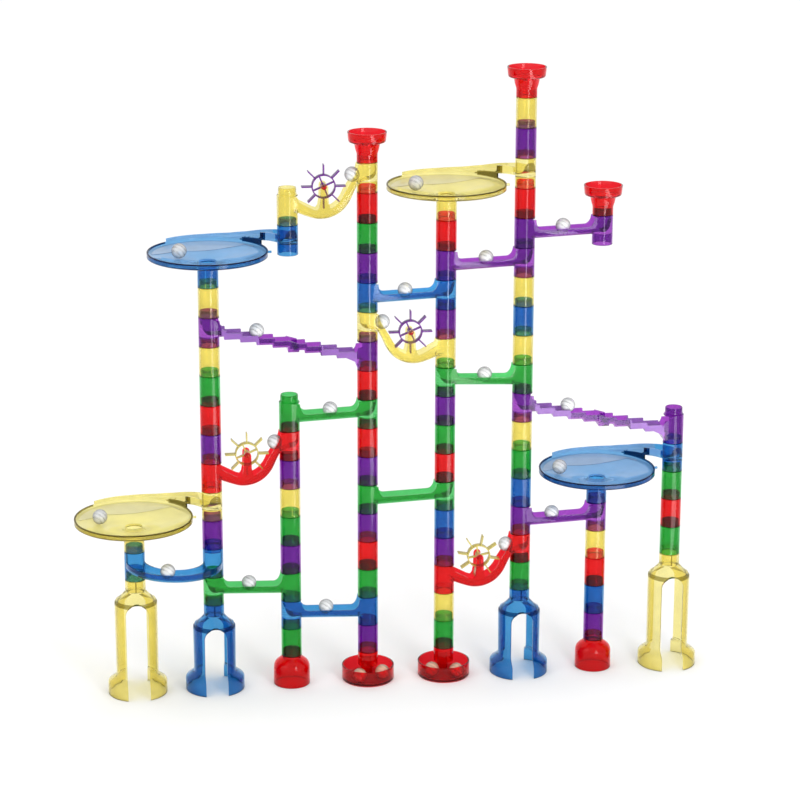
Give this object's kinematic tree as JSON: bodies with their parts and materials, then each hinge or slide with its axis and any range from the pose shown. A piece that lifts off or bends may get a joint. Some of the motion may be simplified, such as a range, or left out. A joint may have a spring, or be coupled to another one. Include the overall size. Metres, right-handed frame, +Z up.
{
  "type": "marble run",
  "caption": "Toy marble run: towers of push-fit translucent tubes carry sloped troughs, stepped slides, spinning paddle wheels and round bowls that marbles roll through.",
  "frame": {"origin": "centre of the bounding box at the surface that the bases stand on", "axes": "+X along the row of towers, from the left tower to the right one as seen from the front, +Z up, -Y towards the viewer"},
  "size_m": [0.6834, 0.1266, 0.673],
  "materials": {
    "tall_leg_1": "translucent yellow moulded polystyrene, polished",
    "short_leg_2": "translucent blue moulded polystyrene, polished",
    "round_base_3": "translucent red moulded polystyrene, polished",
    "catch_dish_4": "translucent red moulded polystyrene, polished",
    "catch_dish_5": "translucent red moulded polystyrene, polished",
    "short_leg_6": "translucent blue moulded polystyrene, polished",
    "round_base_7": "translucent red moulded polystyrene, polished",
    "tall_leg_8": "translucent yellow moulded polystyrene, polished",
    "funnel_4": "translucent red moulded polystyrene, polished",
    "funnel_6": "translucent red moulded polystyrene, polished",
    "funnel_7": "translucent red moulded polystyrene, polished",
    "tubes_2": "translucent green moulded polystyrene, polished",
    "tubes_3": "translucent purple moulded polystyrene, polished",
    "tubes_4": "translucent green moulded polystyrene, polished",
    "tubes_5": "translucent red moulded polystyrene, polished",
    "bowl_1": "translucent yellow moulded polystyrene, polished",
    "bowl_2": "translucent blue moulded polystyrene, polished",
    "bowl_5": "translucent yellow moulded polystyrene, polished",
    "bowl_7": "translucent blue moulded polystyrene, polished",
    "slide_curved": "translucent blue moulded polystyrene, polished",
    "slide_2_3": "translucent green moulded polystyrene, polished",
    "slide_3_4": "translucent blue moulded polystyrene, polished",
    "slide_4_3": "translucent green moulded polystyrene, polished",
    "slide_5_4_low": "translucent green moulded polystyrene, polished",
    "slide_5_4_high": "translucent blue moulded polystyrene, polished",
    "slide_6_5": "translucent purple moulded polystyrene, polished",
    "slide_7_6_high": "translucent purple moulded polystyrene, polished",
    "slide_5_6": "translucent green moulded polystyrene, polished",
    "slide_7_6_low": "translucent purple moulded polystyrene, polished",
    "stair_2_4_upper": "translucent purple moulded polystyrene, polished",
    "stair_2_4_lower": "translucent purple moulded polystyrene, polished",
    "stair_6_8_upper": "translucent purple moulded polystyrene, polished",
    "stair_6_8_lower": "translucent purple moulded polystyrene, polished",
    "scoop_3_2": "translucent red moulded polystyrene, polished",
    "scoop_4_5": "translucent yellow moulded polystyrene, polished",
    "scoop_4_3": "translucent yellow moulded polystyrene, polished",
    "scoop_6_5": "translucent red moulded polystyrene, polished",
    "wheel_3_2": "translucent yellow moulded polystyrene, polished",
    "wheel_4_5": "translucent purple moulded polystyrene, polished",
    "wheel_4_3": "translucent purple moulded polystyrene, polished",
    "wheel_6_5": "translucent yellow moulded polystyrene, polished",
    "marble_2_3": "clear polished glass",
    "marble_3_4": "clear polished glass",
    "marble_4_3": "clear polished glass",
    "marble_5_4_high": "clear polished glass",
    "marble_6_5": "clear polished glass",
    "marble_7_6_high": "clear polished glass",
    "marble_5_6": "clear polished glass",
    "marble_7_6_low": "clear polished glass",
    "marble_stair_2_4": "clear polished glass",
    "marble_stair_6_8": "clear polished glass",
    "marble_scoop_3_2": "clear polished glass",
    "marble_scoop_4_5": "clear polished glass",
    "marble_scoop_4_3": "clear polished glass",
    "marble_scoop_6_5": "clear polished glass",
    "marble_curved": "clear polished glass",
    "marble_bowl_1": "clear polished glass",
    "marble_bowl_2": "clear polished glass",
    "marble_bowl_5": "clear polished glass",
    "marble_bowl_7": "clear polished glass"
  },
  "bodies": {
    "tower_frame": {"tall_leg_1": "tall_leg_1", "short_leg_2": "short_leg_2", "round_base_3": "round_base_3", "catch_dish_4": "catch_dish_4", "catch_dish_5": "catch_dish_5", "short_leg_6": "short_leg_6", "round_base_7": "round_base_7", "tall_leg_8": "tall_leg_8", "funnel_4": "funnel_4", "funnel_6": "funnel_6", "funnel_7": "funnel_7", "tubes_2": "tubes_2", "tubes_3": "tubes_3", "tubes_4": "tubes_4", "tubes_5": "tubes_5", "bowl_1": "bowl_1", "bowl_2": "bowl_2", "bowl_5": "bowl_5", "bowl_7": "bowl_7", "slide_curved": "slide_curved", "slide_2_3": "slide_2_3", "slide_3_4": "slide_3_4", "slide_4_3": "slide_4_3", "slide_5_4_low": "slide_5_4_low", "slide_5_4_high": "slide_5_4_high", "slide_6_5": "slide_6_5", "slide_7_6_high": "slide_7_6_high", "slide_5_6": "slide_5_6", "slide_7_6_low": "slide_7_6_low", "stair_2_4_upper": "stair_2_4_upper", "stair_2_4_lower": "stair_2_4_lower", "stair_6_8_upper": "stair_6_8_upper", "stair_6_8_lower": "stair_6_8_lower", "scoop_3_2": "scoop_3_2", "scoop_4_5": "scoop_4_5", "scoop_4_3": "scoop_4_3", "scoop_6_5": "scoop_6_5"},
    "wheel_3_2": {"wheel_3_2": "wheel_3_2"},
    "wheel_4_5": {"wheel_4_5": "wheel_4_5"},
    "wheel_4_3": {"wheel_4_3": "wheel_4_3"},
    "wheel_6_5": {"wheel_6_5": "wheel_6_5"},
    "marble_2_3": {"marble_2_3": "marble_2_3"},
    "marble_3_4": {"marble_3_4": "marble_3_4"},
    "marble_4_3": {"marble_4_3": "marble_4_3"},
    "marble_5_4_high": {"marble_5_4_high": "marble_5_4_high"},
    "marble_6_5": {"marble_6_5": "marble_6_5"},
    "marble_7_6_high": {"marble_7_6_high": "marble_7_6_high"},
    "marble_5_6": {"marble_5_6": "marble_5_6"},
    "marble_7_6_low": {"marble_7_6_low": "marble_7_6_low"},
    "marble_stair_2_4": {"marble_stair_2_4": "marble_stair_2_4"},
    "marble_stair_6_8": {"marble_stair_6_8": "marble_stair_6_8"},
    "marble_scoop_3_2": {"marble_scoop_3_2": "marble_scoop_3_2"},
    "marble_scoop_4_5": {"marble_scoop_4_5": "marble_scoop_4_5"},
    "marble_scoop_4_3": {"marble_scoop_4_3": "marble_scoop_4_3"},
    "marble_scoop_6_5": {"marble_scoop_6_5": "marble_scoop_6_5"},
    "marble_curved": {"marble_curved": "marble_curved"},
    "marble_bowl_1": {"marble_bowl_1": "marble_bowl_1"},
    "marble_bowl_2": {"marble_bowl_2": "marble_bowl_2"},
    "marble_bowl_5": {"marble_bowl_5": "marble_bowl_5"},
    "marble_bowl_7": {"marble_bowl_7": "marble_bowl_7"}
  },
  "joints": [
    {"name": "wheel_3_2_spin", "type": "hinge", "parent": "tower_frame", "child": "wheel_3_2", "pos_m": [-0.15635, 0, 0.2645], "axis": [0, 1, 0], "continuous": true},
    {"name": "wheel_4_5_spin", "type": "hinge", "parent": "tower_frame", "child": "wheel_4_5", "pos_m": [0.01965, 0, 0.3925], "axis": [0, 1, 0], "continuous": true},
    {"name": "wheel_4_3_spin", "type": "hinge", "parent": "tower_frame", "child": "wheel_4_3", "pos_m": [-0.07235, 0, 0.5525], "axis": [0, 1, 0], "continuous": true},
    {"name": "wheel_6_5_spin", "type": "hinge", "parent": "tower_frame", "child": "wheel_6_5", "pos_m": [0.09565, 0, 0.1365], "axis": [0, 1, 0], "continuous": true},
    {"name": "marble_2_3_roll", "type": "slide", "parent": "tower_frame", "child": "marble_2_3", "axis": [0.9992, 0, -0.0404], "range_m": [-0.0364, 0.0356]},
    {"name": "marble_3_4_roll", "type": "slide", "parent": "tower_frame", "child": "marble_3_4", "axis": [0.9992, 0, -0.0404], "range_m": [-0.0361, 0.0359]},
    {"name": "marble_4_3_roll", "type": "slide", "parent": "tower_frame", "child": "marble_4_3", "axis": [-0.9992, 0, -0.0404], "range_m": [-0.0383, 0.0337]},
    {"name": "marble_5_4_high_roll", "type": "slide", "parent": "tower_frame", "child": "marble_5_4_high", "axis": [-0.9992, 0, -0.0404], "range_m": [-0.0418, 0.0302]},
    {"name": "marble_6_5_roll", "type": "slide", "parent": "tower_frame", "child": "marble_6_5", "axis": [-0.9992, 0, -0.0404], "range_m": [-0.0392, 0.0328]},
    {"name": "marble_7_6_high_roll", "type": "slide", "parent": "tower_frame", "child": "marble_7_6_high", "axis": [-0.9992, 0, -0.0404], "range_m": [-0.0407, 0.0313]},
    {"name": "marble_5_6_roll", "type": "slide", "parent": "tower_frame", "child": "marble_5_6", "axis": [0.9992, 0, -0.0404], "range_m": [-0.0406, 0.0314]},
    {"name": "marble_7_6_low_roll", "type": "slide", "parent": "tower_frame", "child": "marble_7_6_low", "axis": [-0.9992, 0, -0.0404], "range_m": [-0.0474, 0.0246]},
    {"name": "marble_stair_2_4_roll", "type": "slide", "parent": "tower_frame", "child": "marble_stair_2_4", "axis": [0.9788, 0, -0.2047], "range_m": [-0.028, 0.1]},
    {"name": "marble_stair_6_8_roll", "type": "slide", "parent": "tower_frame", "child": "marble_stair_6_8", "axis": [0.9788, 0, -0.2047], "range_m": [-0.028, 0.1]},
    {"name": "marble_scoop_3_2_roll", "type": "slide", "parent": "tower_frame", "child": "marble_scoop_3_2", "axis": [0.9611, 0, 0.2763], "range_m": [0, 0.016]},
    {"name": "marble_scoop_4_5_roll", "type": "slide", "parent": "tower_frame", "child": "marble_scoop_4_5", "axis": [-0.9611, 0, 0.2763], "range_m": [0, 0.016]},
    {"name": "marble_scoop_4_3_roll", "type": "slide", "parent": "tower_frame", "child": "marble_scoop_4_3", "axis": [0.9611, 0, 0.2763], "range_m": [0, 0.016]},
    {"name": "marble_scoop_6_5_roll", "type": "slide", "parent": "tower_frame", "child": "marble_scoop_6_5", "axis": [0.9611, 0, 0.2763], "range_m": [0, 0.016]},
    {"name": "marble_curved_roll", "type": "hinge", "parent": "tower_frame", "child": "marble_curved", "pos_m": [-0.23635, 0, 0.1421], "axis": [0.0404, 0, 0.9992], "range_deg": [-62, 88]},
    {"name": "marble_bowl_1_circle", "type": "hinge", "parent": "tower_frame", "child": "marble_bowl_1", "pos_m": [-0.27835, 0, 0.20133], "axis": [0, 0, 1], "continuous": true},
    {"name": "marble_bowl_2_circle", "type": "hinge", "parent": "tower_frame", "child": "marble_bowl_2", "pos_m": [-0.19435, 0, 0.48849], "axis": [0, 0, 1], "continuous": true},
    {"name": "marble_bowl_5_circle", "type": "hinge", "parent": "tower_frame", "child": "marble_bowl_5", "pos_m": [0.05765, 0, 0.55291], "axis": [0, 0, 1], "continuous": true},
    {"name": "marble_bowl_7_circle", "type": "hinge", "parent": "tower_frame", "child": "marble_bowl_7", "pos_m": [0.22565, 0, 0.23417], "axis": [0, 0, 1], "continuous": true}
  ]
}
